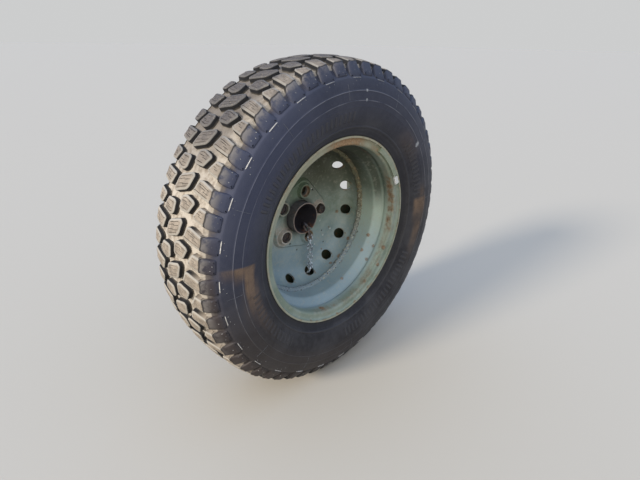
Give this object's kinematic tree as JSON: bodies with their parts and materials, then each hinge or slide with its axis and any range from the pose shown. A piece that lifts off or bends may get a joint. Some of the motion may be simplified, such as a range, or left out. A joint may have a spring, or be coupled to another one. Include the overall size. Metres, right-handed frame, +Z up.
{
  "type": "spare wheel on a door carrier",
  "caption": "Spare wheel with a coarse-tread tyre on a deep steel rim, bolted to a pressed steel door carrier, with a lock tube and a retaining chain.",
  "frame": {"origin": "centre of the circle of carrier bolt holes, on the plane where the carrier's foot flange meets the door", "axes": "+Y along the wheel's axis towards the door, +Z up, +X to the right seen from the open side of the wheel"},
  "size_m": [0.7494, 0.2351, 0.7494],
  "materials": {
    "tyre_rubber": "weathered rubber with dust and dried mud",
    "rim_paint": "faded grey-green paint with rust spots",
    "valve_rubber": "matte",
    "valve_cap_plastic": "matte",
    "weight_paint": "painted over with the rim",
    "weight_metal": "pale coated metal",
    "carrier_paint": "matte dark green paint",
    "tube_steel": "dark weathered steel with a rusty edge",
    "fastener_steel": "browned and rusty",
    "chain_zinc": "dull galvanised wire"
  },
  "bodies": {
    "root": {"tyre": "tyre_rubber", "rim_barrel": "rim_paint", "wheel_disc": "rim_paint", "valve_stem": "valve_rubber", "valve_cap": "valve_cap_plastic", "balance_weight_long": "weight_paint", "balance_weight_short": "weight_metal", "carrier_pan": "carrier_paint", "carrier_seat": "carrier_paint", "carrier_rib_1": "carrier_paint", "carrier_rib_2": "carrier_paint", "carrier_rib_3": "carrier_paint", "carrier_rib_4": "carrier_paint", "lock_tube": "tube_steel", "tube_floor": "tube_steel", "lock_bolt": "fastener_steel", "stud_right": "fastener_steel", "stud_lower_left": "fastener_steel", "stud_upper_left": "fastener_steel", "nut_right": "fastener_steel", "nut_lower_left": "fastener_steel", "nut_upper_left": "fastener_steel", "chain": "chain_zinc", "chain_tab_tube": "tube_steel", "chain_tab_pan": "carrier_paint"}
  },
  "joints": []
}
